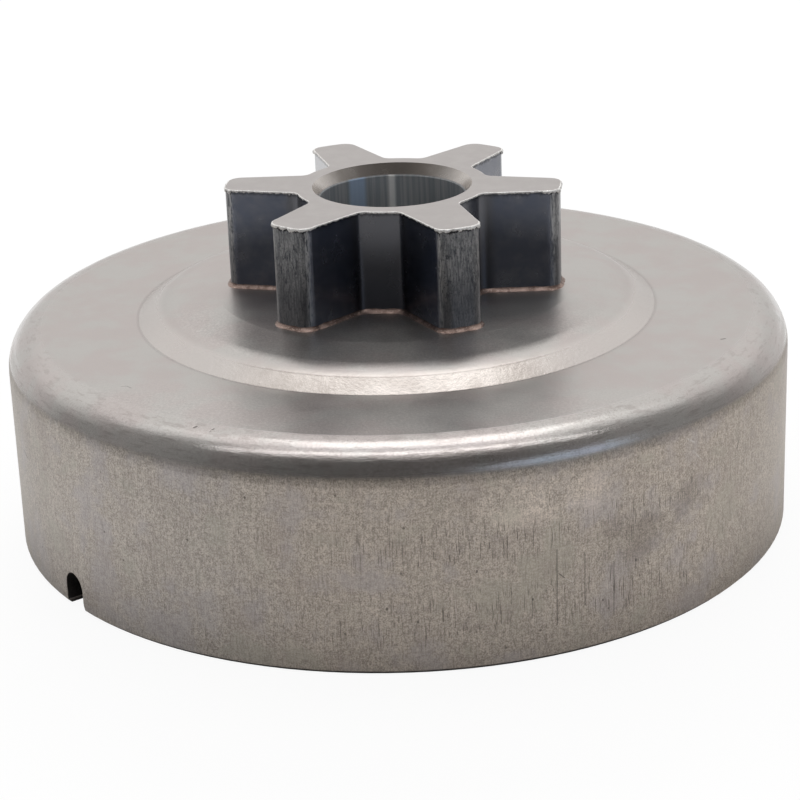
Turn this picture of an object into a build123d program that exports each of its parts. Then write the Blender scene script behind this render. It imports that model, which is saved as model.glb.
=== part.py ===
from build123d import *
from math import cos, radians, sin, tan
import os

# Clutch drum of a chainsaw with its spur sprocket, in millimetres.
# The frame stands on the middle of the rim plane, with +Z along the axis towards the sprocket and +X through a tooth.

# Drum, drawn from one sheet
sheet = 2.0
drum_diameter = 70.0
web_height = 19.4  # from the rim to the top of the flat web
corner_radius = 3.2  # outside, where the wall turns into the web
rim_break = 0.35  # bevel of both rim edges

# Round boss stamped up in the web: a straight flank, then a long soft shoulder that fades into the flat seat
boss_diameter = 46.5  # at its foot
boss_rise = 2.0
flank_rise = 0.96
flank_run = 1.6
shoulder_run = 5.5
hole_diameter = 16.0

# Notch in the rim, with one rounded mouth corner
notch_angle = -136.0  # degrees from +X
notch_width = 2.7
notch_height = 3.3
notch_mouth_radius = 1.0

# Sprocket
tooth_count = 6
tooth_length = 9.05
tip_diameter = 29.8
tip_width = 3.75
flank_angle = 6.8  # degrees, each flank to the middle of its tooth
tip_corner_radius = 1.15
root_diameter = 17.0
root_fillet_radius = 1.0
spigot_reach = 1.0  # how far the spigot stands out inside the drum
spigot_edge_break = 0.3

# Bearing bore
bore_diameter = 13.0
lead_in_depth = 1.1
lead_in_widening = 0.6  # on the radius
inner_bore_break = 0.4

# Brazed joint
braze_gap = 0.05  # between the sprocket and the drum, filled with braze
bead_leg = 0.4  # along the sheet, and as far up the sprocket

# Levels and radii that follow
drum_radius = drum_diameter / 2
boss_radius = boss_diameter / 2
hole_radius = hole_diameter / 2
bore_radius = bore_diameter / 2
tip_radius = tip_diameter / 2
root_radius = root_diameter / 2
boss_top = web_height + boss_rise
boss_underside = boss_top - sheet
seat_height = boss_top + braze_gap
sprocket_top = seat_height + tooth_length
spigot_radius = hole_radius - braze_gap
spigot_end = boss_underside - spigot_reach

os.makedirs("parts", exist_ok=True)

# Drum: the sheet's outer skin line is drawn first, and its thickness is set off inwards
with BuildPart() as clutch_drum:
    with BuildSketch(Plane.XZ) as drum_section:
        with BuildLine():
            wall_and_web = FilletPolyline(
                (drum_radius, 0),
                (drum_radius, web_height),
                (boss_radius, web_height),
                radius=corner_radius,
            )
            flank = Line(wall_and_web @ 1, (boss_radius - flank_run, web_height + flank_rise))
            seat = Line((boss_radius - flank_run - shoulder_run, boss_top), (hole_radius, boss_top))
            TangentArc(seat @ 0, flank @ 1, tangent=(1, 0))
            offset(amount=sheet, side=Side.LEFT)
        make_face()
        chamfer(drum_section.vertices().group_by(Axis.Y)[0], rim_break)
    revolve(axis=Axis.Z)

    # The notch is cut from the axis outwards, through this side of the wall only
    radial = Vector(cos(radians(notch_angle)), sin(radians(notch_angle)), 0)
    notch_plane = Plane(origin=(0, 0, 0), x_dir=Vector(0, 0, 1).cross(radial), z_dir=radial)
    with BuildSketch(notch_plane) as notch_outline:
        half_width = notch_width / 2
        with BuildLine():
            near_side = Line((-half_width, -notch_height), (-half_width, notch_height - half_width))
            crown = TangentArc(near_side @ 1, (half_width, notch_height - half_width), tangent=near_side % 1)
            far_side = Line(crown @ 1, (half_width, notch_mouth_radius))
            mouth = TangentArc(far_side @ 1, (half_width + notch_mouth_radius, 0), tangent=far_side % 1)
            below_rim = Line(mouth @ 1, (half_width + notch_mouth_radius, -notch_height))
            Line(below_rim @ 1, near_side @ 0)
        make_face()
    extrude(amount=drum_diameter, mode=Mode.SUBTRACT)

# Sprocket outline: straight tapering flanks, rounded tips and filleted roots
with BuildSketch() as tooth_outline:
    width_at_axis = tip_width + 2 * tip_radius * tan(radians(flank_angle))
    with PolarLocations(0, tooth_count):
        Polygon(
            (0, -width_at_axis / 2),
            (tip_radius, -tip_width / 2),
            (tip_radius, tip_width / 2),
            (0, width_at_axis / 2),
            align=None,
        )
    Circle(root_radius)
    Circle(tip_radius, mode=Mode.INTERSECT)
    fillet(tooth_outline.vertices().group_by(SortBy.DISTANCE)[-1], tip_corner_radius)
    fillet(tooth_outline.vertices().group_by(SortBy.DISTANCE)[0], root_fillet_radius)

with BuildPart() as spur_sprocket:
    with BuildSketch(Plane.XY.offset(seat_height)):
        add(tooth_outline.sketch)
    extrude(amount=tooth_length)

    with BuildSketch(Plane.XY.offset(spigot_end)):
        Circle(spigot_radius)
    extrude(amount=seat_height - spigot_end)
    chamfer(spur_sprocket.faces().sort_by(Axis.Z)[0].edges(), spigot_edge_break)

    # Bore with its tapered lead-in at the outer end and a small break at the inner end
    with Locations((0, 0, sprocket_top)):
        Hole(bore_radius)
        Cone(
            bottom_radius=bore_radius,
            top_radius=bore_radius + lead_in_widening,
            height=lead_in_depth,
            align=(Align.CENTER, Align.CENTER, Align.MAX),
            mode=Mode.SUBTRACT,
        )
    inner_bore_edge = spur_sprocket.edges().filter_by(GeomType.CIRCLE).group_by(Axis.Z)[0].sort_by(SortBy.RADIUS)[0]
    chamfer(inner_bore_edge, inner_bore_break)

# Braze: the bead round the foot of the teeth, the film under the sprocket, the sleeve round the spigot
# and the bead inside the drum are one casting of copper
with BuildPart() as braze_joint:
    with BuildSketch(Plane.XY.offset(boss_top)):
        offset(tooth_outline.sketch, amount=bead_leg)
    extrude(amount=bead_leg + braze_gap, taper=45)
    with BuildSketch(Plane.XY.offset(seat_height)):
        add(tooth_outline.sketch)
    extrude(amount=tooth_length, mode=Mode.SUBTRACT)

    with BuildSketch(Plane.XZ):
        with BuildLine():
            Polyline(
                (0, boss_top + braze_gap / 2),
                (hole_radius, boss_top + braze_gap / 2),
                (hole_radius, boss_underside),
                (hole_radius + bead_leg, boss_underside),
                (hole_radius, boss_underside - bead_leg),
                (0, boss_underside - bead_leg),
                close=True,
            )
        make_face()
    revolve(axis=Axis.Z)
    with BuildSketch(Plane.XY.offset(spigot_end)):
        Circle(spigot_radius)
    extrude(amount=seat_height - spigot_end, mode=Mode.SUBTRACT)

clutch_drum.part.label = "clutch_drum"
spur_sprocket.part.label = "spur_sprocket"
braze_joint.part.label = "braze_joint"

export_step(clutch_drum.part, "parts/clutch_drum.step")
export_step(spur_sprocket.part, "parts/spur_sprocket.step")
export_step(braze_joint.part, "parts/braze_joint.step")
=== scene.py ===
import math
from types import SimpleNamespace

import bpy
from mathutils import Matrix, Vector, noise


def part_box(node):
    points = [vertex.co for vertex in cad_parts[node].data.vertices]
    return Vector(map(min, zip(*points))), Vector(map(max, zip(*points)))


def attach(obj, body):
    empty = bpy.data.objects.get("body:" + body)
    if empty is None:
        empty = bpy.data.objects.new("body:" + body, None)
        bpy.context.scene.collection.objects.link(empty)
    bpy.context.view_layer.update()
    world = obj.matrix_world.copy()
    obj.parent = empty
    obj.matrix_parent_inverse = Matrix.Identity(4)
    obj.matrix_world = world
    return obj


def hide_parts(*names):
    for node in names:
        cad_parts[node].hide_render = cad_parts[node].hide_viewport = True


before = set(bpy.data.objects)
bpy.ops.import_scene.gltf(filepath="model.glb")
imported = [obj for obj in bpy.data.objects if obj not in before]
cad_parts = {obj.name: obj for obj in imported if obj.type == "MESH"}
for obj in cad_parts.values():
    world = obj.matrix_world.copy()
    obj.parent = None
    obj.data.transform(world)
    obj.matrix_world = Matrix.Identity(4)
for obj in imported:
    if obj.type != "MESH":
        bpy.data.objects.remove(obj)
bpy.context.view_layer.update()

# Lengths are in millimetres here, as in the CAD source, and MM turns them into Blender's metres.
MM = 0.001

drum_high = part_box("clutch_drum")[1]
sprocket_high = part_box("spur_sprocket")[1]
DRUM_RADIUS = drum_high.x / MM
SEAT = drum_high.z / MM
SPROCKET_TOP = sprocket_high.z / MM
TIP_RADIUS = sprocket_high.x / MM
SHEET = 2.0
WEB = 19.4
CORNER_RADIUS = 3.2
FOOT_RADIUS = 23.25
FLANK_TOP_RADIUS = 21.65
SHOULDER_START = 16.15
TURN_DOWN_START = 19.6
SPIGOT_RADIUS = 7.95
HOLE_RADIUS = 8.0
BEAD_LEG = 0.36
BORE_RADIUS = 6.5
LEAD_IN_RADIUS = 7.1

# Turns about the axis, in radians from +X
FRONT_TURN = -1.43
DRAW_MARK_TURN = -1.07
# Where the bore's painted blue reflection and painted highlight stand
BLUE_REFLECTION_TURN = 2.22
PAINTED_HIGHLIGHT_TURN = 1.71

# Single marks on the drum: start, end and half width
SCRATCHES = [
    ((16.33, -30.96, 9.5), (16.28, -30.99, 2.9), 0.06),
    ((18.47, -29.73, 8.8), (18.44, -29.75, 4.1), 0.05),
    ((20.71, -28.22, 7.3), (20.70, -28.23, 2.5), 0.05),
    ((16.45, -30.9, 7.4), (16.9, -30.65, 6.9), 0.05),
    ((-30.81, -16.60, 11.4), (-30.2, -17.7, 11.0), 0.09),
    ((3.13, -34.86, 5.8), (3.13, -34.86, 5.9), 0.13),
    ((5.52, -34.56, 4.6), (5.52, -34.56, 4.7), 0.12),
    ((10.19, -33.48, 8.6), (10.19, -33.48, 8.7), 0.10),
    ((22.42, -26.87, 6.8), (22.42, -26.87, 6.9), 0.12),
    ((19.84, -28.83, 4.1), (19.84, -28.83, 4.2), 0.11),
    ((14.43, -31.88, 5.5), (14.43, -31.88, 5.6), 0.10),
    ((-0.29, -35.00, 3.6), (-0.29, -35.00, 3.7), 0.09),
    ((30.67, -16.87, 13.57), (30.47, -17.22, 12.77), 0.06),
    ((-12.42, -30.34, 19.30), (-12.27, -30.25, 19.30), 0.18),
    ((-11.09, -31.14, 19.30), (-10.99, -31.01, 19.30), 0.16),
    ((-10.82, -30.79, 19.30), (-10.76, -30.72, 19.30), 0.13),
    ((29.1, -9.0, 19.4), (29.4, -8.85, 19.4), 0.14),
    ((25.8, -22.9, 17.6), (26.0, -22.8, 17.5), 0.14),
    ((-20.31, -21.94, 19.40), (-19.83, -21.83, 19.40), 0.04),
    ((-19.83, -21.83, 19.40), (-19.34, -22.28, 19.40), 0.04),
]
# Broad soft stains on the wall: where they start and end, and their half width
DARK_STAIN = ((21.17, -27.87, 8.6), (26.68, -22.66, 9.9), 3.2)
LIGHT_STAIN = ((12.05, -32.86, 13.7), (18.88, -29.47, 13.9), 2.4)
LIGHT_SCRATCHES = [
    ((-25.8, -23.65, 16.9), (-25.5, -23.97, 16.6), 0.22),
    ((26.4, -22.98, 15.9), (27.0, -22.27, 15.3), 0.09),
    ((26.9, -22.39, 14.6), (27.5, -21.65, 13.6), 0.08),
    ((17.0, -30.59, 6.8), (17.5, -30.31, 6.4), 0.05),
]


# Node trees

class Graph:
    """The node tree of one material, with a short call for each kind of node that it needs."""

    def __init__(self, name):
        self.material = bpy.data.materials.new(name)
        self.material.use_nodes = True
        self.tree = self.material.node_tree
        self.tree.nodes.clear()
        self.output = self.add("ShaderNodeOutputMaterial")
        self.shader = self.add("ShaderNodeBsdfPrincipled")
        self.join(self.shader.outputs[0], self.output.inputs["Surface"])

    def add(self, kind, inputs=(), **settings):
        node = self.tree.nodes.new(kind)
        for key, value in settings.items():
            setattr(node, key, value)
        for key, value in dict(inputs).items():
            self.join(value, node.inputs[key])
        return node

    def join(self, value, socket):
        if isinstance(value, bpy.types.NodeSocket):
            self.tree.links.new(value, socket)
        else:
            socket.default_value = value

    def math(self, operation, a, b=0.0, c=0.0):
        return self.add("ShaderNodeMath", {0: a, 1: b, 2: c}, operation=operation).outputs[0]

    def vector(self, operation, a, b=(0.0, 0.0, 0.0)):
        node = self.add("ShaderNodeVectorMath", {0: a, 1: b}, operation=operation)
        return node.outputs["Value" if operation in ("LENGTH", "DISTANCE", "DOT_PRODUCT") else "Vector"]

    def step(self, value, start, end, low=0.0, high=1.0):
        """Goes smoothly from low to high while value goes from start to end."""
        inputs = {"Value": value, "From Min": start, "From Max": end, "To Min": low, "To Max": high}
        return self.add("ShaderNodeMapRange", inputs, interpolation_type="SMOOTHSTEP").outputs[0]

    def line(self, value, start, end, low=0.0, high=1.0):
        """Goes in a straight line from low to high while value goes from start to end."""
        inputs = {"Value": value, "From Min": start, "From Max": end, "To Min": low, "To Max": high}
        return self.add("ShaderNodeMapRange", inputs).outputs[0]

    def noise(self, place, size, detail=2.0, rough=0.5, stretch=(1.0, 1.0, 1.0)):
        """Soft noise whose lumps are about size long; stretch makes them longer along an axis."""
        scaled = self.vector("DIVIDE", place, tuple(size * s for s in stretch))
        inputs = {"Vector": scaled, "Scale": 1.0, "Detail": detail, "Roughness": rough}
        return self.add("ShaderNodeTexNoise", inputs).outputs[0]

    def cells(self, place, size, randomness=1.0):
        """Distance to the nearest of scattered points, in cells of that size."""
        scaled = self.vector("DIVIDE", place, (size, size, size))
        inputs = {"Vector": scaled, "Scale": 1.0, "Randomness": randomness}
        return self.add("ShaderNodeTexVoronoi", inputs).outputs["Distance"]

    def blend(self, factor, a, b):
        """Colour a where factor is 0 and colour b where it is 1."""
        node = self.add("ShaderNodeMix", {0: factor, 6: a, 7: b}, data_type="RGBA")
        return node.outputs[2]

    def cover(self, colour, other, share, *masks):
        """Colour with that share of other laid over it where all the masks are 1."""
        return self.blend(self.both(*masks, share), colour, other)

    def both(self, *masks):
        product = masks[0]
        for mask in masks[1:]:
            product = self.math("MULTIPLY", product, mask)
        return product

    def either(self, *masks):
        most = masks[0]
        for mask in masks[1:]:
            most = self.math("MAXIMUM", most, mask)
        return most

    def flip(self, mask):
        return self.math("SUBTRACT", 1.0, mask)

    def gap(self, value, centre):
        """How far value is from centre, either way."""
        return self.math("ABSOLUTE", self.math("SUBTRACT", value, centre))

    def sum(self, *parts):
        total = parts[0]
        for part in parts[1:]:
            total = self.math("ADD", total, part)
        return total

    def radius(self, place):
        """Distance from the axis."""
        return self.vector("LENGTH", self.vector("MULTIPLY", place, (1.0, 1.0, 0.0)))

    def place(self):
        """The point of the surface in millimetres, in the frame of the CAD."""
        object_point = self.add("ShaderNodeTexCoord").outputs["Object"]
        return self.vector("MULTIPLY", object_point, (1 / MM, 1 / MM, 1 / MM))

    def relief(self, height, depth, below=None):
        """A bump of that depth in millimetres, where height goes from 0 to 1."""
        inputs = {"Height": height, "Distance": depth * MM, "Strength": 1.0}
        if below is not None:
            inputs["Normal"] = below
        return self.add("ShaderNodeBump", inputs).outputs[0]

    def stroke(self, place, start, end, width):
        """1 on the line from start to end, fading to 0 at width from it."""
        start, end = Vector(start), Vector(end)
        along = end - start
        offset = self.vector("SUBTRACT", place, tuple(start))
        share = self.math("DIVIDE", self.vector("DOT_PRODUCT", offset, tuple(along)), along.length_squared)
        share = self.math("MINIMUM", self.math("MAXIMUM", share, 0.0), 1.0)
        scaled = {0: tuple(along), "Scale": share}
        nearest = self.add("ShaderNodeVectorMath", scaled, operation="SCALE").outputs[0]
        gap = self.vector("DISTANCE", offset, nearest)
        return self.step(gap, width, width * 0.35)


def rgb(red, green, blue):
    return (red, green, blue, 1.0)


# Colours of the drawn sheet
WEB_WARM = rgb(0.512, 0.470, 0.456)
WEB_COOL = rgb(0.518, 0.502, 0.484)
WEB_SPECK = rgb(0.36, 0.34, 0.33)
WEB_GRAIN_DARK = rgb(0.330, 0.310, 0.298)
WEB_GRAIN_LIGHT = rgb(0.740, 0.700, 0.675)
FLANK_DARK = rgb(0.445, 0.404, 0.372)
FLANK_LIGHT = rgb(0.585, 0.540, 0.505)
FLANK_BEHIND = rgb(0.590, 0.555, 0.535)
CORNER_WORN = rgb(0.330, 0.300, 0.285)
WALL_LIGHT = rgb(0.620, 0.550, 0.482)
WALL_DARK = rgb(0.275, 0.240, 0.208)
WALL_VIOLET = rgb(0.435, 0.398, 0.400)
WALL_OLIVE = rgb(0.430, 0.402, 0.340)
WALL_BROWN = rgb(0.415, 0.352, 0.318)
WALL_RING = rgb(0.300, 0.262, 0.230)
# Painted cool reflection tint, laid over the left side of the wall
LEFT_PAINTED_COOL_REFLECTION = rgb(0.955, 0.985, 1.020)
DRAW_MARK_DARK = rgb(0.110, 0.098, 0.085)
DRAW_MARK_LIGHT = rgb(0.600, 0.545, 0.490)
# Painted shade for the thin dark lines on the boss
PAINTED_SHADE_LINE = rgb(0.10, 0.09, 0.085)
PIT = rgb(0.09, 0.08, 0.07)
SCRATCH = rgb(0.09, 0.08, 0.075)
BRIGHT_SCRATCH = rgb(0.70, 0.68, 0.66)
# Painted shade for the bottom edge of the rim
RIM_PAINTED_SHADE = rgb(0.06, 0.058, 0.055)
# Painted shade for the cut faces of the notch
NOTCH_PAINTED_SHADE = rgb(0.030, 0.028, 0.028)
NO_TINT = rgb(1, 1, 1)


def sheet_zones(g, place):
    """The drum's coordinates and a mask for each part of it."""
    axes = g.add("ShaderNodeSeparateXYZ", {0: place}).outputs
    height = axes["Z"]
    radius = g.radius(place)
    turn = g.math("ARCTAN2", axes["Y"], axes["X"])
    bend_start = DRUM_RADIUS - CORNER_RADIUS
    inner_wall = DRUM_RADIUS - SHEET
    boss_underside = SEAT - SHEET

    wall = g.step(height, WEB - 2.1, WEB - 2.6)
    corner = g.both(g.step(radius, bend_start - 0.3, bend_start + 0.5), g.flip(wall))
    front_of_web = g.step(axes["Y"], -18.0, -27.0)
    seat = g.step(radius, 21.5, 19.5)
    near = g.both(g.step(axes["Y"], -3.0, -12.0), g.either(front_of_web, seat))
    return SimpleNamespace(
        across=axes["X"],
        height=height,
        radius=radius,
        turn=turn,
        wall=wall,
        corner=corner,
        flank=g.both(
            g.step(radius, FOOT_RADIUS + 0.02, FOOT_RADIUS - 0.04),
            g.step(radius, FLANK_TOP_RADIUS - 0.9, FLANK_TOP_RADIUS + 0.1),
        ),
        outside=g.step(height, boss_underside - 0.4, boss_underside - 0.3),
        seat_side=g.step(height, boss_underside + 0.2, boss_underside + 0.5),
        front_half=g.step(g.gap(turn, FRONT_TURN), 0.80, 0.40),
        near=g.both(near, g.line(corner, 0.0, 1.0, 1.0, 0.4)),
        crest_shade=g.step(g.gap(radius, FLANK_TOP_RADIUS - 0.02), 0.13, 0.03),
        foot_shade=g.step(g.gap(radius, FOOT_RADIUS + 0.05), 0.20, 0.03),
        rim_shade=g.step(height, 0.34, 0.14),
        notch_shade=g.both(
            g.step(radius, inner_wall + 0.03, inner_wall + 0.08),
            g.step(radius, DRUM_RADIUS - 0.03, DRUM_RADIUS - 0.08),
            g.step(height, 0.34, 0.42),
            g.step(height, 3.6, 3.4),
        ),
    )


def sheet_noises(g, place):
    """Noise from broad clouds to the finest grain, then what is drawn out along the wall or the corner."""
    return SimpleNamespace(
        clouds=g.noise(place, 9.0, 2.0),
        tint=g.noise(g.vector("ADD", place, (31.0, 0.0, 0.0)), 5.0, 3.0, 0.6),
        patches=g.noise(place, 3.2, 3.0, 0.55),
        grain=g.noise(place, 0.42, 4.0, 0.62),
        peel=g.noise(place, 0.24, 3.0, 0.6),
        speckle=g.noise(place, 0.125, 2.0, 0.7, (1.0, 1.0, 1.15)),
        fine=g.noise(place, 0.10, 2.0, 0.6),
        streaks=g.noise(place, 0.22, 2.0, 0.6, (1.0, 1.0, 14.0)),
        threads=g.noise(place, 0.095, 1.0, 0.5, (1.0, 1.0, 9.0)),
        dashes=g.noise(place, 0.085, 1.5, 0.5, (1.0, 1.0, 17.0)),
        rings=g.noise(place, 0.20, 2.0, 0.6, (8.0, 8.0, 1.0)),
    )


def sheet_marks(g, place, zone, tone):
    """Masks of the pits, the scratches and the short draw marks, thickest in two bands at the front."""
    band_wave = g.math("MULTIPLY", g.math("SUBTRACT", tone.clouds, 0.5), 3.0)
    band_height = g.sum(zone.height, band_wave)
    upper_band = g.both(g.step(band_height, 9.0, 10.4), g.step(band_height, 13.2, 11.4))
    lower_band = g.both(g.step(band_height, 2.4, 3.4), g.step(band_height, 8.2, 6.2))
    front = g.step(g.gap(zone.turn, DRAW_MARK_TURN), 0.90, 0.20)
    marked = g.both(zone.wall, g.sum(0.30, g.both(front, g.either(upper_band, lower_band), 0.70)))
    pit_cells = g.step(g.cells(place, 1.9), 0.070, 0.045)
    pitted_areas = g.step(g.noise(place, 2.1, 1.0), 0.48, 0.56)
    return SimpleNamespace(
        dark=g.both(g.step(tone.dashes, 0.60, 0.67), marked),
        light=g.both(g.step(tone.dashes, 0.37, 0.29), marked),
        pits=g.both(pit_cells, pitted_areas, zone.wall),
        scratches=g.either(*(g.stroke(place, *scratch) for scratch in SCRATCHES)),
        light_scratches=g.either(*(g.stroke(place, *scratch) for scratch in LIGHT_SCRATCHES)),
    )


def web_paint(g, zone, tone):
    """Colour of the flat web, the boss and the corner."""
    colour = g.blend(g.step(tone.tint, 0.40, 0.62), WEB_WARM, WEB_COOL)
    colour = g.cover(colour, WEB_SPECK, 0.35, g.step(tone.fine, 0.50, 0.75))
    mottle = g.sum(g.both(tone.peel, 0.5), g.both(tone.speckle, 0.5))
    colour = g.cover(colour, WEB_GRAIN_DARK, 0.34, zone.near, g.step(mottle, 0.50, 0.68))
    colour = g.cover(colour, WEB_GRAIN_LIGHT, 0.46, zone.near, g.step(mottle, 0.54, 0.34))
    pressed = g.blend(g.step(tone.patches, 0.38, 0.64), FLANK_DARK, FLANK_LIGHT)
    pressed = g.blend(zone.front_half, FLANK_BEHIND, pressed)
    colour = g.cover(colour, pressed, 0.8, zone.flank)
    worn = g.step(g.either(g.both(tone.peel, 0.92), tone.rings), 0.52, 0.68)
    return g.cover(colour, CORNER_WORN, 0.38, zone.corner, worn)


def wall_paint(g, place, zone, tone, marks):
    """Colour of the wall: a fine mottle, soft tints, a painted cool reflection on the left, painted shade
    toward both sides, two stains and the draw marks.
    """
    coarse_mix = g.sum(g.both(tone.grain, 0.29), g.both(tone.streaks, 0.09))
    fine_mix = g.sum(g.both(tone.speckle, 0.53), g.both(tone.threads, 0.09))
    colour = g.blend(g.step(g.sum(coarse_mix, fine_mix), 0.36, 0.64), WALL_DARK, WALL_LIGHT)
    colour = g.cover(colour, WALL_VIOLET, 0.45, g.step(tone.tint, 0.50, 0.66))
    colour = g.cover(colour, WALL_OLIVE, 0.45, g.step(tone.tint, 0.46, 0.34))
    colour = g.cover(colour, WALL_BROWN, 0.25, g.step(tone.patches, 0.50, 0.70))
    # Painted cool reflection on the left side of the wall, then painted shade that darkens the wall toward
    # both sides
    painted_left_reflection = g.blend(g.step(zone.across, 0.0, -14.0), NO_TINT, LEFT_PAINTED_COOL_REFLECTION)
    colour = g.vector("MULTIPLY", colour, painted_left_reflection)
    colour = g.vector("MULTIPLY", colour, g.step(g.math("ABSOLUTE", zone.across), 25.0, 34.0, 1.0, 0.88))
    colour = g.cover(colour, WALL_RING, 0.25, g.step(tone.rings, 0.50, 0.72))
    lighter = g.both(g.stroke(place, *LIGHT_STAIN), 0.30)
    darker = g.both(g.stroke(place, *DARK_STAIN), 0.24)
    stain = g.both(g.math("SUBTRACT", lighter, darker), g.step(tone.patches, 0.32, 0.62))
    colour = g.vector("MULTIPLY", colour, g.sum(stain, 1.0))
    colour = g.cover(colour, DRAW_MARK_DARK, 0.72, marks.dark)
    return g.cover(colour, DRAW_MARK_LIGHT, 0.60, marks.light)


# The shoulder's relief in millimetres: its curved lift, less a straight fall and the turn down at the end
SHOULDER_LIFT = 1.08
SHOULDER_FALL = 0.10
SHOULDER_TURN_DOWN = 0.54


def shoulder_relief(g, zone):
    """The real shoulder stays flat further out than the solid's arc, and then turns down more sharply."""
    climb = g.line(zone.radius, SHOULDER_START, FLANK_TOP_RADIUS)
    turn_down = g.line(zone.radius, TURN_DOWN_START, FLANK_TOP_RADIUS)
    lifted = g.math("SUBTRACT", g.both(climb, climb, SHOULDER_LIFT), g.both(climb, SHOULDER_FALL))
    lifted = g.math("SUBTRACT", lifted, g.both(turn_down, turn_down, SHOULDER_TURN_DOWN))
    at_crest = SHOULDER_LIFT - SHOULDER_FALL - SHOULDER_TURN_DOWN
    return g.relief(g.both(zone.seat_side, g.math("SUBTRACT", lifted, at_crest)), 1.0)


def drawn_steel():
    """Bare drawn sheet: satin and mottled on the flat web, grained with draw marks on the wall."""
    g = Graph("drawn_steel")
    place = g.place()
    zone = sheet_zones(g, place)
    tone = sheet_noises(g, place)
    marks = sheet_marks(g, place, zone, tone)

    colour = g.blend(zone.wall, web_paint(g, zone, tone), wall_paint(g, place, zone, tone, marks))
    # Painted shade: a dark line along the crest of the boss and in the crease at its foot, strongest at the
    # front
    crest_shade = g.both(zone.crest_shade, zone.front_half, 0.26)
    foot_shade = g.both(zone.foot_shade, g.line(zone.front_half, 0.0, 1.0, 0.14, 0.30))
    colour = g.blend(g.both(zone.outside, g.either(crest_shade, foot_shade)), colour, PAINTED_SHADE_LINE)
    colour = g.cover(colour, PIT, 0.6, marks.pits)
    colour = g.cover(colour, SCRATCH, 0.75, marks.scratches)
    bright = g.both(marks.light_scratches, g.line(tone.peel, 0.35, 0.65, 0.15, 0.55))
    colour = g.blend(bright, colour, BRIGHT_SCRATCH)
    # Painted shade along the bottom edge of the rim, where it meets the floor
    colour = g.cover(colour, RIM_PAINTED_SHADE, 0.75, zone.rim_shade)
    # Painted shade: the cut faces of the notch darkened nearly to black, as deep in shadow
    colour = g.cover(colour, NOTCH_PAINTED_SHADE, 0.92, zone.notch_shade)
    g.join(colour, g.shader.inputs["Base Color"])

    web_rough = g.line(tone.patches, 0.3, 0.7, 0.345, 0.40)
    wall_rough = g.both(zone.wall, g.line(tone.grain, 0.3, 0.7, 0.03, 0.11))
    polished = g.both(g.either(zone.corner, g.both(zone.flank, 0.75)), 0.16)
    g.join(g.math("SUBTRACT", g.sum(web_rough, wall_rough), polished), g.shader.inputs["Roughness"])
    g.shader.inputs["Metallic"].default_value = 1.0

    base = g.line(zone.corner, 0.0, 1.0, 0.45, 0.28)
    worked = g.sum(base, g.sum(g.both(zone.wall, 0.45), g.both(zone.flank, 0.85)))
    swell = g.relief(tone.patches, 0.008, shoulder_relief(g, zone))
    grained = g.relief(g.both(worked, tone.grain), 0.026, swell)
    ringed = g.relief(g.both(zone.corner, tone.rings), 0.010, grained)
    peeled = g.relief(g.both(worked, tone.peel), 0.011, ringed)
    sunk = g.either(marks.pits, g.both(marks.dark, 0.5), marks.scratches)
    g.join(g.relief(g.flip(sunk), 0.014, peeled), g.shader.inputs["Normal"])
    return g.material


# Colours of the hardened steel
BLUED_DARK = rgb(0.160, 0.178, 0.228)
BLUED_LIGHT = rgb(0.225, 0.238, 0.278)
BLUE_LOST = rgb(0.52, 0.52, 0.53)
ROOT_TOP = rgb(0.190, 0.192, 0.206)
# Painted shade at the foot of the roots
ROOT_LOW_PAINTED_SHADE = rgb(0.085, 0.090, 0.108)
TIP_DARK = rgb(0.155, 0.160, 0.170)
TIP_LIGHT = rgb(0.315, 0.315, 0.318)
TIP_SPECK = rgb(0.075, 0.078, 0.088)
# Painted highlight for the edges of the tips
TIP_PAINTED_EDGE_HIGHLIGHT = rgb(0.60, 0.60, 0.60)
TIP_SCALE = rgb(0.060, 0.064, 0.074)
# Painted shade at the foot of the tips
TIP_LOW_PAINTED_SHADE = rgb(0.16, 0.17, 0.19)
GROUND_DARK = rgb(0.450, 0.424, 0.416)
GROUND_LIGHT = rgb(0.490, 0.466, 0.456)
GROUND_SPECK = rgb(0.36, 0.345, 0.34)
BORE_DARK = rgb(0.36, 0.385, 0.41)
BORE_LIGHT = rgb(0.52, 0.53, 0.54)
# Painted reflections in the bore: a blue one and a near-white highlight
BORE_PAINTED_BLUE_REFLECTION = rgb(0.52, 0.68, 0.90)
BORE_PAINTED_HIGHLIGHT = rgb(0.98, 0.98, 0.96)
# Painted shade and painted light for the lead-in ring
LEAD_IN_PAINTED_SHADE = rgb(0.385, 0.345, 0.315)
LEAD_IN_PAINTED_LIGHT = rgb(0.66, 0.625, 0.595)
# Painted shade under the burr's lip
SHADE_UNDER_LIP = rgb(0.030, 0.030, 0.032)
LIP = rgb(0.86, 0.84, 0.82)


def tip_paint(g, height, radius, noises):
    """Colour of the tooth tips: scale worn through to grey steel, with a painted highlight along the edges
    and painted shade toward the foot.
    """
    colour = g.blend(g.step(noises.streaks, 0.38, 0.62), TIP_DARK, TIP_LIGHT)
    colour = g.cover(colour, TIP_SPECK, 0.60, g.step(noises.specks, 0.50, 0.64))
    # Painted highlight along the rounded edges of the tips
    edge_start = g.step(radius, TIP_RADIUS - 0.95, TIP_RADIUS - 0.70)
    edge_end = g.step(radius, TIP_RADIUS - 0.20, TIP_RADIUS - 0.45)
    colour = g.cover(colour, TIP_PAINTED_EDGE_HIGHLIGHT, 0.75, g.both(edge_start, edge_end), g.step(noises.streaks, 0.38, 0.56))
    scaled = g.both(g.step(noises.scale, 0.52, 0.62), g.step(noises.patches, 0.38, 0.56))
    colour = g.cover(colour, TIP_SCALE, 0.85, scaled)
    # Painted shade: the tips darken toward their foot, where they meet the web
    return g.blend(g.step(height, SPROCKET_TOP - 3.0, SEAT + 1.5, 0.0, 0.5), colour, TIP_LOW_PAINTED_SHADE)


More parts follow.
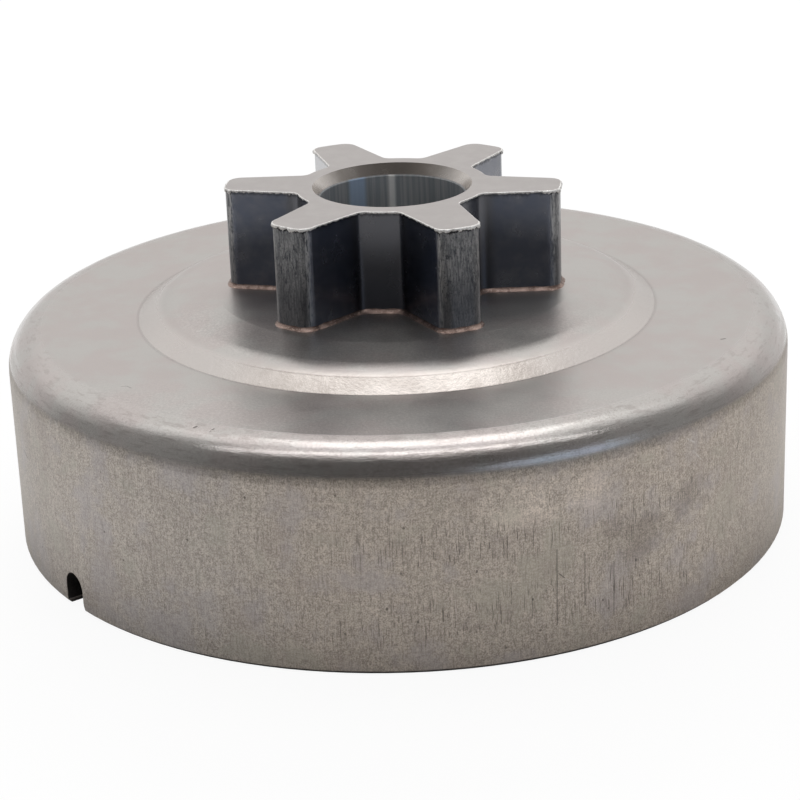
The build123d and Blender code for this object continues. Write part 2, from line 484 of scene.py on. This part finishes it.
def side_paint(g, height, radius, turn, noises):
    """Colour of the flanks and roots: blued, but for the two flanks at the back that have lost it, with
    painted shade toward the foot of the roots.
    """
    colour = g.blend(g.step(noises.patches, 0.35, 0.7), BLUED_DARK, BLUED_LIGHT)
    # Painted shade: the roots darken toward their foot, down in the corner against the web
    root_paint_and_shade = g.blend(g.step(height, SPROCKET_TOP - 0.5, SEAT + 1.0), ROOT_TOP, ROOT_LOW_PAINTED_SHADE)
    colour = g.cover(colour, root_paint_and_shade, 0.85, g.step(radius, 9.9, 9.0))
    left_flank = g.both(g.step(turn, 2.10, 2.18), g.step(turn, 2.62, 2.54))
    right_flank = g.both(g.step(turn, 0.52, 0.60), g.step(turn, 1.04, 0.96), 0.35)
    return g.cover(colour, BLUE_LOST, 0.85, g.either(left_flank, right_flank))


def bore_paint(g, turn, streaks):
    """Colour of the bore: turned steel with a painted blue reflection and a painted highlight as stripes down
    it.
    """
    colour = g.blend(g.step(streaks, 0.35, 0.65), BORE_DARK, BORE_LIGHT)
    colour = g.cover(colour, BORE_PAINTED_BLUE_REFLECTION, 0.7, g.step(g.gap(turn, BLUE_REFLECTION_TURN), 0.17, 0.09))
    return g.blend(g.step(g.gap(turn, PAINTED_HIGHLIGHT_TURN), 0.07, 0.02), colour, BORE_PAINTED_HIGHLIGHT)


def lead_in_paint(g, turn, patches):
    # Painted light and shade round the lead-in: darkest at the turn of the bore's painted highlight, lighter
    # to either side, broken up by random patches
    aside = g.step(g.gap(turn, PAINTED_HIGHLIGHT_TURN), 0.25, 1.05)
    mix = g.sum(g.both(aside, 0.50), g.both(patches, 0.50))
    return g.blend(g.step(mix, 0.22, 0.86), LEAD_IN_PAINTED_SHADE, LEAD_IN_PAINTED_LIGHT)


def hardened_steel():
    """Hardened steel with a blue-black cast: smooth flanks, scaly tips, a ground end face, a turned bore."""
    g = Graph("hardened_steel")
    place = g.place()
    axes = g.add("ShaderNodeSeparateXYZ", {0: place}).outputs
    height = axes["Z"]
    radius = g.radius(place)
    turn = g.math("ARCTAN2", axes["Y"], axes["X"])
    normal = g.add("ShaderNodeNewGeometry").outputs["Normal"]
    facing = g.add("ShaderNodeSeparateXYZ", {0: normal}).outputs["Z"]

    at_top = g.step(height, SPROCKET_TOP - 0.1, SPROCKET_TOP - 0.05)
    end_face = g.both(g.step(facing, 0.95, 0.99), at_top)
    tip = g.step(radius, TIP_RADIUS - 0.8, TIP_RADIUS - 0.35)
    bore = g.step(radius, BORE_RADIUS + 0.1, BORE_RADIUS + 0.02)
    within_lead_in = g.step(radius, LEAD_IN_RADIUS + 0.06, LEAD_IN_RADIUS - 0.02)
    lead_in = g.both(within_lead_in, g.flip(bore), g.flip(end_face))

    noises = SimpleNamespace(
        patches=g.noise(place, 1.6, 3.0, 0.6),
        scale=g.noise(place, 0.34, 4.0, 0.7, (1.0, 1.0, 2.6)),
        specks=g.noise(place, 0.14, 3.0, 0.65, (1.0, 1.0, 1.5)),
        grain=g.noise(place, 0.10, 3.0, 0.6),
        streaks=g.noise(place, 0.13, 3.0, 0.65, (1.0, 1.0, 9.0)),
        bore_streaks=g.noise(place, 0.35, 2.0, 0.6, (1.0, 1.0, 40.0)),
    )
    ground = g.blend(g.step(noises.patches, 0.35, 0.7), GROUND_DARK, GROUND_LIGHT)
    ground = g.cover(ground, GROUND_SPECK, 0.3, g.step(noises.grain, 0.52, 0.72))
    colour = side_paint(g, height, radius, turn, noises)
    colour = g.blend(tip, colour, tip_paint(g, height, radius, noises))
    colour = g.blend(bore, colour, bore_paint(g, turn, noises.bore_streaks))
    colour = g.blend(lead_in, colour, lead_in_paint(g, turn, noises.patches))
    colour = g.blend(end_face, colour, ground)

    # Where the burr along the top of the teeth has torn: a ragged bright lip, with painted shade under it as
    # black nicks
    sides = g.both(g.flip(end_face), g.step(radius, LEAD_IN_RADIUS + 0.2, LEAD_IN_RADIUS + 0.4))
    ragged = g.sum(height, g.math("MULTIPLY", g.math("SUBTRACT", noises.scale, 0.5), 1.0))
    under_lip_band = g.step(ragged, SPROCKET_TOP - 0.48, SPROCKET_TOP - 0.30)
    shade_under_lip = g.both(sides, under_lip_band, g.line(tip, 0.0, 1.0, 0.55, 1.0))
    lip = g.both(sides, g.step(ragged, SPROCKET_TOP - 0.17, SPROCKET_TOP - 0.10))
    # Painted shade under the lip, laid on as black nicks
    colour = g.blend(shade_under_lip, colour, SHADE_UNDER_LIP)
    colour = g.blend(lip, colour, LIP)
    g.join(colour, g.shader.inputs["Base Color"])
    g.join(g.line(bore, 0.0, 1.0, 1.0, 0.75), g.shader.inputs["Metallic"])

    smooth = g.line(noises.patches, 0.3, 0.7, 0.24, 0.28)
    rough = g.sum(smooth, g.both(g.either(end_face, tip), 0.10))
    g.join(g.sum(rough, g.both(g.either(bore, lip), 0.25)), g.shader.inputs["Roughness"])
    scales = g.sum(g.math("MULTIPLY", noises.scale, 0.6), g.math("MULTIPLY", noises.streaks, 0.4))
    scaly = g.relief(g.both(tip, scales), 0.030)
    grained = g.both(g.either(end_face, g.both(tip, 0.5)), noises.grain)
    g.join(g.relief(grained, 0.002, scaly), g.shader.inputs["Normal"])
    return g.material


# Colours of the braze and of torn steel
BRAZE_DARK = rgb(0.185, 0.130, 0.112)
BRAZE_LIGHT = rgb(0.350, 0.258, 0.225)
# Painted glints on the braze
BRAZE_PAINTED_GLINT = rgb(0.66, 0.54, 0.48)
BRAZE_BURNT = rgb(0.050, 0.032, 0.028)
TORN_DARK = rgb(0.62, 0.605, 0.59)
TORN_LIGHT = rgb(0.92, 0.91, 0.89)


def copper_braze():
    """Oxidised copper, run smooth, with painted glints as a few bright spots, and burnt dark where it meets
    the teeth.
    """
    g = Graph("copper_braze")
    place = g.place()
    lumps = g.noise(place, 0.8, 3.0, 0.6)
    fine = g.noise(place, 0.14, 2.0)
    height = g.add("ShaderNodeSeparateXYZ", {0: place}).outputs["Z"]
    colour = g.blend(g.step(lumps, 0.38, 0.62), BRAZE_DARK, BRAZE_LIGHT)
    # Painted glints: a few bright spots standing in for sparkle
    colour = g.cover(colour, BRAZE_PAINTED_GLINT, 0.5, g.step(fine, 0.55, 0.66))
    colour = g.cover(colour, BRAZE_BURNT, 0.7, g.step(height, SEAT + 0.17, SEAT + 0.31))
    g.join(colour, g.shader.inputs["Base Color"])
    g.shader.inputs["Metallic"].default_value = 1.0
    g.join(g.line(fine, 0.3, 0.7, 0.36, 0.48), g.shader.inputs["Roughness"])
    g.join(g.relief(fine, 0.015), g.shader.inputs["Normal"])
    return g.material


def lip_steel():
    """Bright torn metal."""
    g = Graph("lip_steel")
    grain = g.noise(g.place(), 0.15, 3.0, 0.6)
    g.join(g.blend(g.step(grain, 0.35, 0.65), TORN_DARK, TORN_LIGHT), g.shader.inputs["Base Color"])
    g.shader.inputs["Metallic"].default_value = 0.55
    g.join(g.line(grain, 0.3, 0.7, 0.35, 0.50), g.shader.inputs["Roughness"])
    g.join(g.relief(grain, 0.02), g.shader.inputs["Normal"])
    return g.material


# Staging

# Camera, fitted to the outlines in the photo: lengths in millimetres, angles in radians
CAMERA_TURN = math.radians(7.8)
CAMERA_DISTANCE = 205.77
CAMERA_HEIGHT = 89.72
CAMERA_PITCH = 0.3699
CAMERA_ROLL = -0.0368
CAMERA_LENS = 108.207
SENSOR = 36.0
CLIP_START = 1.0 * MM
CLIP_END = 100.0

# The dark side of the room: its brightness, and where it starts on the floor in front of the drum
ROOM_FRONT = 0.13
ROOM_SIDE = 0.34
ROOM_BACK_LOW = 0.82
ROOM_REACH = 1.3
FILL = 1.28
SKIRT_START = 90.0
SKIRT_DARK = 125.0

# How far out the drum's own shadow on the floor shows in its reflections
SHADOW_START = 65.0
SHADOW_END = 110.0

# Floor: just under the rim, in millimetres, its width in metres, its paint and how much of it is plain white
FLOOR_DROP = 0.02
FLOOR_WIDTH = 6.0
FLOOR_PAINT = rgb(0.82, 0.82, 0.82)
FLOOR_WHITE = 0.93
WHITE = rgb(1.0, 1.0, 1.0)
ROOM_WHITE = rgb(1.0, 0.985, 0.97)
WINDOW_BLUE = rgb(0.80, 0.93, 1.12)
WINDOW_BRIGHT = 0.50

# Shape of the room: the dome goes all the way round, in steps of a tenth of a radian upwards, and the skirt
# lies just above the floor. The widest turns are in degrees to each side of the camera.
ROOM_COLUMNS = 64
DOME_STEPS = 14
DOME_WIDEST = 180.0
SKIRT_HEIGHT = 0.3 * MM
SKIRT_WIDEST = 140.0

# Soft boxes: elevation in degrees, sizes in metres
LAMPS = [
    dict(name="lamp_back", elevation=75.0, distance=0.62, length=0.36, width=0.25, radiance=1.02, aside=0.03),
    dict(name="lamp_back_wide", elevation=75.0, distance=0.63, length=1.3, width=0.25, radiance=0.30),
    dict(name="lamp_top", elevation=105.0, distance=0.62, length=0.95, width=0.08, radiance=1.72),
    dict(name="lamp_floor", elevation=38.0, distance=0.75, length=0.5, width=0.2, radiance=8.5,
         mirrored=False),
]


def from_camera_side(across, back, up):
    """A point so far across the view, behind the object's axis and above the floor, in metres."""
    return Matrix.Rotation(CAMERA_TURN, 3, "Z") @ Vector((across, back, up))


def add_camera():
    forward = Vector((0.0, math.cos(CAMERA_PITCH), -math.sin(CAMERA_PITCH)))
    level = Vector((1.0, 0.0, 0.0))
    above = level.cross(forward)
    right = math.cos(CAMERA_ROLL) * level + math.sin(CAMERA_ROLL) * above
    up = math.cos(CAMERA_ROLL) * above - math.sin(CAMERA_ROLL) * level
    turn = Matrix.Rotation(CAMERA_TURN, 4, "Z")
    basis = Matrix((right, up, -forward)).transposed().to_4x4()
    place = Matrix.Translation(Vector((0.0, -CAMERA_DISTANCE, CAMERA_HEIGHT)) * MM)
    data = bpy.data.cameras.new("camera")
    data.lens = CAMERA_LENS
    data.sensor_width = SENSOR
    data.clip_start = CLIP_START
    data.clip_end = CLIP_END
    camera = bpy.data.objects.new("camera", data)
    camera.matrix_world = turn @ place @ basis
    bpy.context.scene.collection.objects.link(camera)
    bpy.context.scene.camera = camera


def add_sheet(name, centre, width, depth, aim, material):
    """A flat rectangle at centre whose face looks at aim."""
    w, d = width / 2, depth / 2
    mesh = bpy.data.meshes.new(name)
    mesh.from_pydata([(-w, -d, 0), (w, -d, 0), (w, d, 0), (-w, d, 0)], [], [(0, 1, 2, 3)])
    mesh.materials.append(material)
    sheet = bpy.data.objects.new(name, mesh)
    facing = (aim - centre).to_track_quat("Z", "Y")
    sheet.matrix_world = Matrix.Translation(centre) @ facing.to_matrix().to_4x4()
    bpy.context.scene.collection.objects.link(sheet)
    return sheet


def floor_material():
    """Pale floor: white to the camera and in reflections, with the object's soft shadow kept."""
    g = Graph("floor_paint")
    g.shader.inputs["Base Color"].default_value = FLOOR_PAINT
    g.shader.inputs["Roughness"].default_value = 0.9
    glow = g.add("ShaderNodeEmission", {"Color": WHITE, "Strength": 1.0})
    path = g.add("ShaderNodeLightPath").outputs
    reach = g.vector("LENGTH", g.add("ShaderNodeNewGeometry").outputs["Position"])
    beyond_shadow = g.step(reach, SHADOW_START * MM, SHADOW_END * MM)
    mirrored = g.both(path["Is Glossy Ray"], beyond_shadow)
    seen = g.either(path["Is Camera Ray"], mirrored, path["Is Transmission Ray"])
    share = g.both(seen, FLOOR_WHITE)
    mix = g.add("ShaderNodeMixShader", {0: share, 1: g.shader.outputs[0], 2: glow.outputs[0]})
    g.join(mix.outputs[0], g.output.inputs["Surface"])
    return g.material


def room_material():
    """The room round the table: white behind and above, dark in front, with a bluish window at the right.

    All angles are in radians: side and away from the camera's side of the room, and rise above the floor.
    """
    g = Graph("room_walls")
    point = g.add("ShaderNodeTexCoord").outputs["Object"]
    axes = g.add("ShaderNodeSeparateXYZ", {0: point}).outputs
    reach = g.radius(point)
    toward = g.math("MULTIPLY", axes["Y"], -1.0)
    side = g.math("ARCTAN2", axes["X"], toward)
    away = g.math("ABSOLUTE", side)
    rise = g.math("ARCTAN2", axes["Z"], reach)
    dark = g.step(away, 0.35, 1.60, ROOM_FRONT, ROOM_SIDE)
    cover = g.both(
        g.step(away, 2.40, 1.50),
        g.step(rise, 1.26, 0.90),
        g.step(reach, SKIRT_START * MM, SKIRT_DARK * MM),
    )
    level = g.math("SUBTRACT", g.step(rise, 0.28, 0.44, ROOM_BACK_LOW, 1.0), g.both(cover, g.flip(dark)))
    level = g.either(level, dark)
    window = g.both(
        g.step(side, 0.22, 0.62),
        g.step(side, 1.26, 0.98),
        g.step(rise, 0.04, 0.14),
        g.step(rise, 0.50, 0.34),
    )
    colour = g.blend(window, ROOM_WHITE, WINDOW_BLUE)
    level = g.math("ADD", level, g.both(window, WINDOW_BRIGHT))
    diffuse = g.add("ShaderNodeLightPath").outputs["Is Diffuse Ray"]
    level = g.math("MULTIPLY", level, g.math("ADD", 1.0, g.both(diffuse, FILL - 1.0)))
    glow = g.add("ShaderNodeEmission", {"Color": colour, "Strength": level})
    g.join(glow.outputs[0], g.output.inputs["Surface"])
    g.material.cycles.emission_sampling = "NONE"
    return g.material


def add_world():
    """White to the camera and in reflections, and a plain soft fill for the rest."""
    world = bpy.data.worlds.new("studio")
    world.use_nodes = True
    tree = world.node_tree
    tree.nodes.clear()
    out = tree.nodes.new("ShaderNodeOutputWorld")
    shown = tree.nodes.new("ShaderNodeBackground")
    shown.inputs["Color"].default_value = WHITE
    shown.inputs["Strength"].default_value = 1.0
    fill = tree.nodes.new("ShaderNodeBackground")
    fill.inputs["Color"].default_value = WHITE
    fill.inputs["Strength"].default_value = FILL
    path = tree.nodes.new("ShaderNodeLightPath")
    seen = tree.nodes.new("ShaderNodeMath")
    seen.operation = "MAXIMUM"
    more = tree.nodes.new("ShaderNodeMath")
    more.operation = "MAXIMUM"
    mix = tree.nodes.new("ShaderNodeMixShader")
    tree.links.new(path.outputs["Is Camera Ray"], seen.inputs[0])
    tree.links.new(path.outputs["Is Glossy Ray"], seen.inputs[1])
    tree.links.new(seen.outputs[0], more.inputs[0])
    tree.links.new(path.outputs["Is Transmission Ray"], more.inputs[1])
    tree.links.new(more.outputs[0], mix.inputs[0])
    tree.links.new(fill.outputs[0], mix.inputs[1])
    tree.links.new(shown.outputs[0], mix.inputs[2])
    tree.links.new(mix.outputs[0], out.inputs["Surface"])
    world.cycles.sampling_method = "NONE"
    bpy.context.scene.world = world


def add_lamp(name, elevation, distance, length, width, radiance, aside=0.0, mirrored=True):
    """A long soft box across the view. Elevation goes from the horizon behind the object over the top."""
    turn = math.radians(elevation)
    centre = from_camera_side(aside, math.cos(turn) * distance, math.sin(turn) * distance)
    data = bpy.data.lights.new(name, "AREA")
    data.shape = "RECTANGLE"
    data.size = length
    data.size_y = width
    data.energy = radiance * math.pi * length * width
    lamp = bpy.data.objects.new(name, data)
    back = centre.normalized()
    across = from_camera_side(0.0, math.sin(turn), -math.cos(turn)).cross(back).normalized()
    basis = Matrix((across, back.cross(across), back)).transposed().to_4x4()
    lamp.matrix_world = Matrix.Translation(centre) @ basis
    lamp.visible_glossy = mirrored
    bpy.context.scene.collection.objects.link(lamp)


def add_room_part(name, rings, widest, material):
    """A surface turned about the axis, centred on the camera's side, that the camera doesn't see."""
    vertices, faces = [], []
    for i in range(ROOM_COLUMNS + 1):
        away = math.radians(widest * (2 * i / ROOM_COLUMNS - 1))
        vertices += [(reach * math.sin(away), -reach * math.cos(away), up) for reach, up in rings]
    rows = len(rings)
    for i in range(ROOM_COLUMNS):
        for k in range(rows - 1):
            a, b = i * rows + k, (i + 1) * rows + k
            faces.append((a, a + 1, b + 1, b))
    mesh = bpy.data.meshes.new(name)
    mesh.from_pydata(vertices, [], faces)
    mesh.materials.append(material)
    part = bpy.data.objects.new(name, mesh)
    part.matrix_world = Matrix.Rotation(CAMERA_TURN, 4, "Z")
    bpy.context.scene.collection.objects.link(part)
    part.visible_camera = False
    part.visible_transmission = False
    part.visible_shadow = False
    return part


def add_room():
    """The walls as a dome, and the dark front of the table as a skirt that shows only in reflections."""
    material = room_material()
    arch = [0.1 * i for i in range(DOME_STEPS)]
    dome = [(ROOM_REACH * math.cos(a), ROOM_REACH * math.sin(a)) for a in arch]
    add_room_part("dome", dome, DOME_WIDEST, material)
    reaches = (SKIRT_START, SKIRT_DARK, 2 * SKIRT_DARK, ROOM_REACH / MM)
    skirt = [(reach * MM, SKIRT_HEIGHT) for reach in reaches]
    add_room_part("skirt", skirt, SKIRT_WIDEST, material).visible_diffuse = False


def add_studio():
    level = Vector((0, 0, -FLOOR_DROP * MM))
    add_sheet("floor", level, FLOOR_WIDTH, FLOOR_WIDTH, Vector((0, 0, 1)), floor_material())
    add_world()
    for lamp in LAMPS:
        add_lamp(**lamp)
    add_room()


# Pieces of the object

# Section of a bead of braze: how far out and how far up it goes, as shares of its leg
BEAD_PROFILE = [(0.0, 1.0), (0.18, 0.72), (0.42, 0.42), (0.72, 0.16), (1.0, 0.0)]
BEAD_SUNK = 0.02
BEAD_ROOT = 0.03
HOLLOW_REACH = 9
INNER_BEAD_TURNS = 180

# Section of the burr, in degrees from its outermost point, and its size on the flanks, more of it on the tips
BURR_ARCS = (90.0, 60.0, 30.0, 0.0, -35.0, -70.0)
BURR_SIZE = 0.085
BURR_TIP_SIZE = 0.065
BURR_RAGGED = 0.045
BURR_TIP_RAGGED = 0.085
BURR_LEAST = 0.012

OUTLINE_STEP = 0.1
CLEAR_OF_SPIGOT = SPIGOT_RADIUS + 0.2
SAME_LEVEL = 0.001


def outline_of_teeth():
    """The foot of the teeth as a closed line of even short steps, read from the sprocket's own mesh."""
    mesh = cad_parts["spur_sprocket"].data
    outer = [v.co for v in mesh.vertices if v.co.xy.length > CLEAR_OF_SPIGOT * MM]
    foot = min(point.z for point in outer)
    corners = {
        (round(point.x / MM, 4), round(point.y / MM, 4))
        for point in outer
        if abs(point.z - foot) < SAME_LEVEL * MM
    }
    corners = sorted(corners, key=lambda c: math.atan2(c[1], c[0]))
    points = []
    for here, there in zip(corners, corners[1:] + corners[:1]):
        start, end = Vector(here), Vector(there)
        count = max(1, round((end - start).length / OUTLINE_STEP))
        points += [start.lerp(end, i / count) for i in range(count)]
    return points


def outward_at(points, i, reach):
    """The way out from the teeth at a point of their outline."""
    along = (points[(i + reach) % len(points)] - points[i - reach]).normalized()
    return Vector((along.y, -along.x))


def ring_faces(count, rows):
    """Faces of a closed band whose points come in count columns of rows each."""
    faces = []
    for i in range(count):
        here, there = i * rows, (i + 1) % count * rows
        faces += [(here + k, here + k + 1, there + k + 1, there + k) for k in range(rows - 1)]
    return faces


def add_piece(name, vertices, faces, material):
    mesh = bpy.data.meshes.new(name)
    mesh.from_pydata([tuple(c * MM for c in v) for v in vertices], [], faces)
    mesh.polygons.foreach_set("use_smooth", [True] * len(mesh.polygons))
    mesh.materials.append(material)
    mesh.validate()
    piece = bpy.data.objects.new(name, mesh)
    bpy.context.scene.collection.objects.link(piece)
    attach(piece, "root")
    return piece


def tooth_bead():
    """Points of the bead round the foot of the teeth. It fills the root bends, as run braze does."""
    points = outline_of_teeth()
    count = len(points)
    vertices = []
    for i, point in enumerate(points):
        outward = outward_at(points, i, 3)
        where = Vector((point.x, point.y, 0.0))
        leg = BEAD_LEG * (1.0 + 0.28 * noise.noise(where * 0.9) + 0.14 * noise.noise(where * 3.1))
        rise = BEAD_LEG * (1.0 + 0.25 * noise.noise(where * 1.1 + Vector((9, 0, 0))))
        bulge = 1.0 + 0.06 * noise.noise(where * 5.0 + Vector((0, 7, 0)))
        nearby = [points[(i + k) % count] for k in range(-HOLLOW_REACH, HOLLOW_REACH + 1)]
        middle = sum(nearby, Vector((0.0, 0.0))) / len(nearby)
        hollow = max(0.0, (middle - point).dot(outward))
        for out, up in BEAD_PROFILE:
            root = BEAD_ROOT if out == 0.0 else 0.0
            flat = point + outward * ((leg + hollow) * out * bulge - root)
            vertices.append((flat.x, flat.y, SEAT - BEAD_SUNK + rise * up * bulge))
    return vertices, ring_faces(count, len(BEAD_PROFILE))


def inner_bead():
    """Points of the bead round the spigot, inside the drum."""
    underside = SEAT - SHEET
    vertices = []
    for i in range(INNER_BEAD_TURNS):
        angle = 2 * math.pi * i / INNER_BEAD_TURNS
        where = Vector((math.cos(angle), math.sin(angle), 0.0)) * HOLE_RADIUS
        size = BEAD_LEG * (1.0 + 0.35 * noise.noise(where * 1.1 + Vector((0, 0, 5))))
        for out, down in BEAD_PROFILE:
            radius = SPIGOT_RADIUS - BEAD_SUNK + size * out
            level = underside + BEAD_SUNK - size * down
            vertices.append((radius * math.cos(angle), radius * math.sin(angle), level))
    faces = [(a, d, c, b) for a, b, c, d in ring_faces(INNER_BEAD_TURNS, len(BEAD_PROFILE))]
    return vertices, faces


def braze_bead(material):
    """The bead round the foot of the teeth and the one inside the drum, with the lumps of real braze."""
    vertices, faces = tooth_bead()
    inner_vertices, inner_faces = inner_bead()
    start = len(vertices)
    faces += [tuple(start + corner for corner in face) for face in inner_faces]
    bead = add_piece("braze_bead", vertices + inner_vertices, faces, material)
    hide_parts("braze_joint")


def edge_burr(material):
    """The thin burr that grinding left round the top edge of the teeth: ragged, widest over the tips."""
    points = outline_of_teeth()
    arcs = [math.radians(a) for a in BURR_ARCS]
    vertices = []
    for i, point in enumerate(points):
        outward = outward_at(points, i, 2)
        where = Vector((point.x, point.y, 0.0))
        at_tip = min(1.0, max(0.0, (point.length - TIP_RADIUS + 1.6) / 1.2))
        ragged = noise.noise(where * 2.6) + 0.6 * noise.noise(where * 6.1)
        even = BURR_SIZE + BURR_TIP_SIZE * at_tip
        size = max(BURR_LEAST, even + (BURR_RAGGED + BURR_TIP_RAGGED * at_tip) * ragged)
        for arc in arcs:
            flat = point + outward * (size * math.cos(arc))
            vertices.append((flat.x, flat.y, SPROCKET_TOP - size * (1.0 - math.sin(arc))))
    add_piece("edge_burr", vertices, ring_faces(len(points), len(arcs)), material)


def dress(node, material):
    """A CAD node keeps its shape and gets this material."""
    for material_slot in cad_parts[node].material_slots:
        material_slot.material = material


bpy.context.scene.view_settings.view_transform = "Standard"
add_camera()
add_studio()
dress("clutch_drum", drawn_steel())
dress("spur_sprocket", hardened_steel())
braze_bead(copper_braze())
edge_burr(lip_steel())
